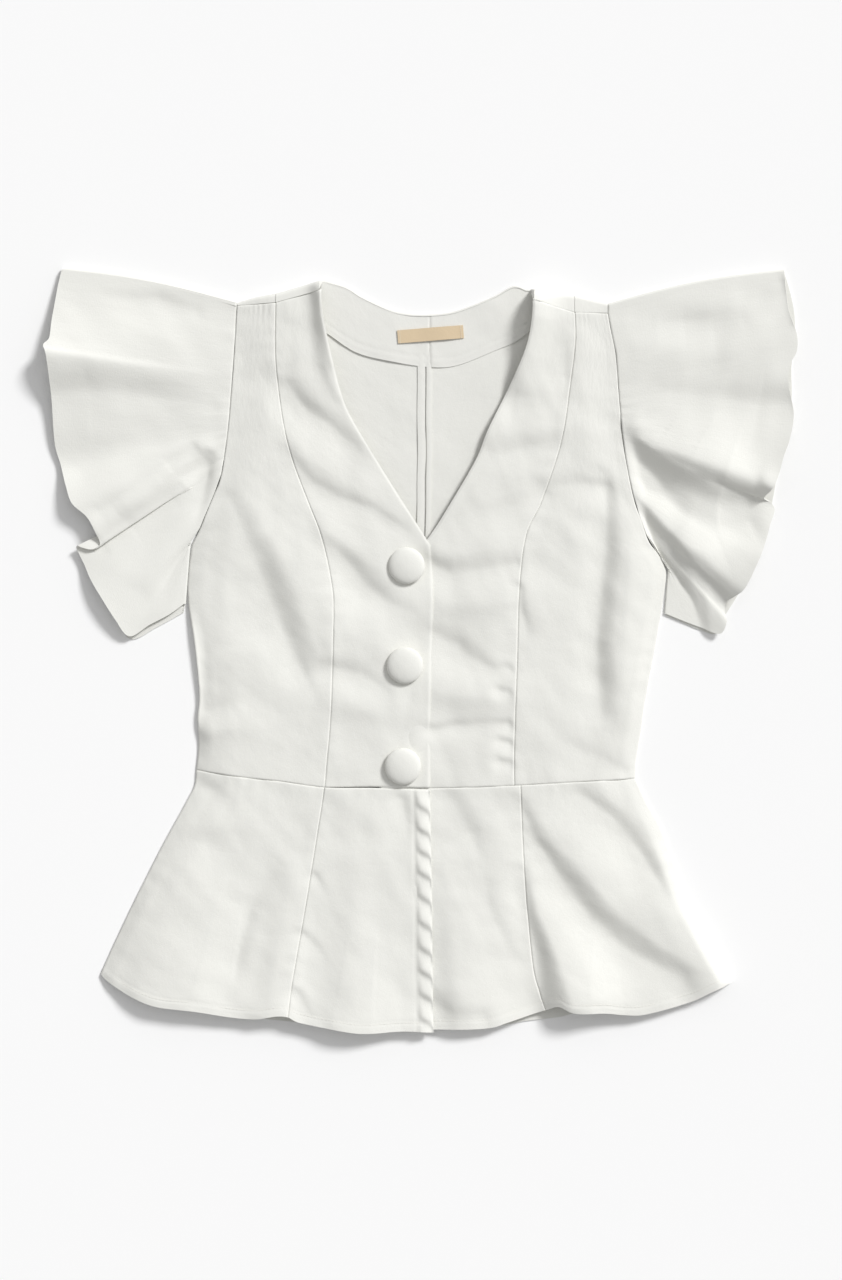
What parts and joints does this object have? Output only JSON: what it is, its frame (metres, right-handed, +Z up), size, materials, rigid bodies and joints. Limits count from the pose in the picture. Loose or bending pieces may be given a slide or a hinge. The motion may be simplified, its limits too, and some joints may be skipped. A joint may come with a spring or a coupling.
{
  "type": "blouse",
  "caption": "Short V-neck blouse with princess seams, flared peplum, flounce sleeves and covered buttons, laid flat.",
  "frame": {"origin": "on the surface that the blouse lies on, under the middle of its box", "axes": "+Z up from the surface, +Y towards the neck, +X to the wearer's left side, the viewer's right"},
  "size_m": [0.6593, 0.6715, 0.0168],
  "materials": {
    "shell_cloth": "matte ivory plain weave with a soft dry hand",
    "facing": "the same ivory cloth, wrong side out",
    "button_cloth": "ivory cloth drawn tight over a dome",
    "label_ribbon": "beige satin ribbon, left blank"
  },
  "bodies": {
    "root": {"back_right_side": "shell_cloth", "back_left_side": "shell_cloth", "back_right_center": "shell_cloth", "back_left_center": "shell_cloth", "peplum_back_right": "shell_cloth", "peplum_back_left": "shell_cloth", "back_facing_right": "facing", "back_facing_left": "facing", "label": "label_ribbon", "front_right_side": "shell_cloth", "front_right_center": "shell_cloth", "front_left_center": "shell_cloth", "front_left_side": "shell_cloth", "peplum_front_right_side": "shell_cloth", "peplum_front_right_center": "shell_cloth", "peplum_front_left_center": "shell_cloth", "peplum_front_left_side": "shell_cloth", "sleeve_right": "shell_cloth", "sleeve_left": "shell_cloth", "button_top": "button_cloth", "button_middle": "button_cloth", "button_bottom": "button_cloth"}
  },
  "joints": []
}
